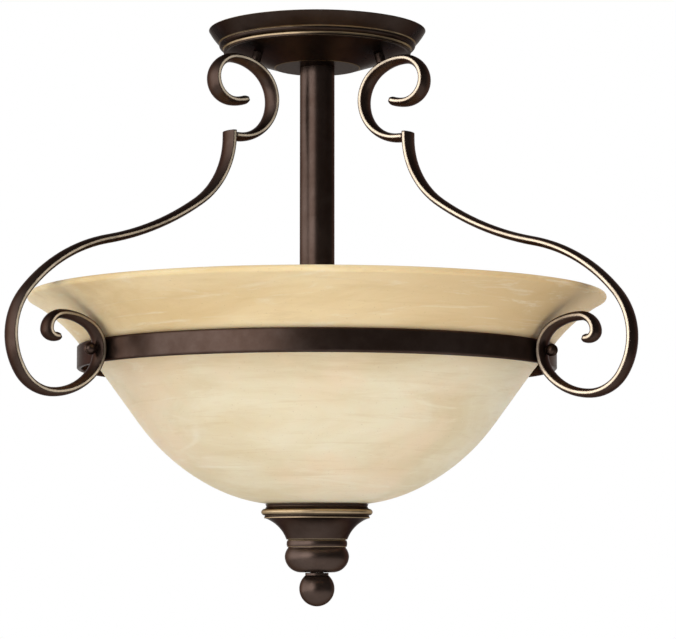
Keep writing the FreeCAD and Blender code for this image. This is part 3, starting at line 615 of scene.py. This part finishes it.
def bead_rows(centres, radii):
    """Rings of points along a line, each square to it."""
    rows = []
    for index, centre in enumerate(centres):
        before = centres[max(index - 1, 0)]
        after = centres[min(index + 1, len(centres) - 1)]
        along = (after - before).normalized()
        side = along.orthogonal().normalized()
        rows.append(ring_round(centre, side, along.cross(side), radii[index], WELD_SIDES))
    return rows


def make_strap_weld(name, turn, side, material):
    """A rippled bead across the strap where its scroll meets it, tapered at its ends."""
    centres = []
    radii = []
    for index in range(WELD_STEPS + 1):
        share = index / WELD_STEPS
        across = (share - 0.5) * STRAP_WIDTH * WELD_SPAN
        half = strap_half(across)
        centres.append(turn @ Vector((WELD_PLACE[0] - half, across, WELD_PLACE[1] + side * half)))
        taper = math.sin(math.pi * min(max(share, 0.03), 0.97)) ** 0.35
        radii.append(taper * (WELD_RADIUS + WELD_RIPPLE * math.sin(index * WELD_BEAT)))
    piece = skin(name, bead_rows(centres, radii), material)
    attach(piece, "fixture")


def make_boss_weld(name, turn, material):
    """A bead all round the boss where it stands on the scroll's crowned top."""
    down = Vector((math.sin(CANOPY_SLOPE), 0.0, -math.cos(CANOPY_SLOPE)))
    out = Vector((math.cos(CANOPY_SLOPE), 0.0, math.sin(CANOPY_SLOPE)))
    aside = Vector(Y_AXIS)
    seat = Vector((BOSS_SEAT[0], 0.0, BOSS_SEAT[1]))
    foot = seat + down * (BOSS_LENGTH - STRAP_CROWN / 2.0)
    rows = []
    for index in range(BOSS_WELD_STEPS):
        angle = 2.0 * math.pi * index / BOSS_WELD_STEPS
        way = out * math.cos(angle) + aside * math.sin(angle)
        sink = STRAP_CROWN / 2.0 - strap_half(BOSS_RADIUS * math.sin(angle))
        centre = foot + way * BOSS_RADIUS + down * sink
        radius = BOSS_WELD_RADIUS + BOSS_WELD_RIPPLE * math.sin(index * BOSS_WELD_BEAT)
        row = ring_round(centre, way, -down, radius, BOSS_WELD_SIDES)
        rows.append([turn @ point for point in row])
    piece = skin(name, rows, material, closed=True)
    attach(piece, "fixture")


def make_welds(materials):
    """Small weld beads where each scroll meets its strap, above and below, and its boss."""
    for name, azimuth in ARM_AZIMUTHS.items():
        turn = Matrix.Rotation(math.radians(azimuth), 4, "Z")
        material = materials[f"arm_{name}"]
        make_strap_weld(f"weld_top_{name}", turn, 1.0, material)
        make_strap_weld(f"weld_low_{name}", turn, -1.0, material)
        make_boss_weld(f"weld_boss_{name}", turn, material)


# ---------------------------------------------------------------- studio

FLOOR_HEIGHT = -1.5
FLOOR_RADIUS = 5.0

# name, place, size in metres and power in watts of each soft lamp, and the point they face
LAMPS = (
    ("key", (-1.3, -1.8, 0.25), 3.0, 19.0),
    ("fill", (1.2, -1.9, 0.0), 2.6, 7.0),
    ("low", (-0.2, -1.3, -1.2), 1.2, 4.0),
)
LIGHT_MIDDLE = Vector((0.0, 0.0, -0.22))

# the world's strength outside gloss, and the bright card that gloss shows on the front left
AMBIENT = 0.70
CARD_WAY = (-0.657, -0.723, 0.206)
CARD_STRENGTH = 2.4

# the photograph's view, in metres and degrees, with the sensor and lens in mm
CAMERA_AZIMUTH = 268.0
CAMERA_DISTANCE = 1.9103
CAMERA_HEIGHT = -0.3876
CAMERA_YAW = 0.456
CAMERA_PITCH = 5.25
SENSOR_WIDTH = 36.0
LENS = 140.6


def make_floor():
    """A plain pale round floor under the light, which keeps its shadow."""
    bpy.ops.mesh.primitive_circle_add(vertices=128, radius=FLOOR_RADIUS, fill_type="NGON",
                                      location=(0.0, 0.0, FLOOR_HEIGHT))
    floor = bpy.context.object
    floor.name = "floor"
    shader = Shader("floor")
    shader.set("Base Color", (0.86, 0.86, 0.85, 1.0))
    shader.set("Roughness", 0.85)
    floor.data.materials.append(shader.material)


def make_world():
    """White to the camera; gloss sees it white behind, bright on the left and dark in front."""
    world = bpy.data.worlds.new("studio")
    bpy.context.scene.world = world
    world.use_nodes = True
    nodes = Nodes(world.node_tree)
    nodes.tree.nodes.clear()
    way = nodes.add("ShaderNodeTexCoord").outputs["Generated"]
    behind = nodes.ramp(nodes.dot(way, Y_AXIS), 0.25, 0.85)
    front = nodes.ramp(nodes.dot(way, X_AXIS), -0.92, -0.35, 1.9, 0.06)
    spare = nodes.math("SUBTRACT", 1.0, front)
    mirrored = nodes.math("MULTIPLY_ADD", behind, spare, front)
    overhead = nodes.ramp(nodes.dot(way, Z_AXIS), 0.25, 0.75, 1.0, 0.25)
    mirrored = nodes.math("MULTIPLY", mirrored, overhead)
    card = nodes.ramp(nodes.dot(way, CARD_WAY), 0.86, 0.95, 0.0, CARD_STRENGTH)
    mirrored = nodes.math("MAXIMUM", mirrored, card)
    path = nodes.add("ShaderNodeLightPath")
    seen = nodes.math("MAXIMUM", path.outputs["Is Camera Ray"],
                      path.outputs["Is Transmission Ray"])
    # 1 where it is seen or shines through, the studio's tones in gloss, and the ambient else
    tones = nodes.math("SUBTRACT", mirrored, AMBIENT)
    soft = nodes.math("MULTIPLY_ADD", path.outputs["Is Glossy Ray"], tones, AMBIENT)
    shell = nodes.add("ShaderNodeBackground")
    nodes.wire((1.0, 1.0, 1.0, 1.0), shell.inputs["Color"])
    nodes.wire(nodes.math("MAXIMUM", seen, soft), shell.inputs["Strength"])
    out = nodes.add("ShaderNodeOutputWorld")
    nodes.wire(shell.outputs[0], out.inputs["Surface"])


def make_lights():
    """Soft square lamps that face the light; gloss shows the world's card in their place."""
    for name, place, size, power in LAMPS:
        data = bpy.data.lights.new(name, "AREA")
        data.size = size
        data.energy = power
        lamp = bpy.data.objects.new(name, data)
        bpy.context.scene.collection.objects.link(lamp)
        lamp.location = place
        lamp.visible_glossy = False
        aim = LIGHT_MIDDLE - Vector(place)
        lamp.rotation_euler = aim.to_track_quat("-Z", "Y").to_euler()


def make_camera():
    """The photograph's view: from slightly below, and a little left of straight on."""
    azimuth = math.radians(CAMERA_AZIMUTH)
    heading = azimuth - math.pi - math.radians(CAMERA_YAW)
    pitch = math.radians(CAMERA_PITCH)
    data = bpy.data.cameras.new("camera")
    data.sensor_width = SENSOR_WIDTH
    data.lens = LENS
    camera = bpy.data.objects.new("camera", data)
    bpy.context.scene.collection.objects.link(camera)
    camera.location = (CAMERA_DISTANCE * math.cos(azimuth), CAMERA_DISTANCE * math.sin(azimuth),
                       CAMERA_HEIGHT)
    look = Vector((math.cos(pitch) * math.cos(heading), math.cos(pitch) * math.sin(heading),
                   math.sin(pitch)))
    camera.rotation_euler = look.to_track_quat("-Z", "Y").to_euler()
    bpy.context.scene.camera = camera


made_materials = dress_frame()
make_screws(made_materials["zinc_steel"])
make_welds(made_materials)
make_floor()
make_world()
make_lights()
make_camera()
bpy.context.scene.view_settings.view_transform = "Standard"
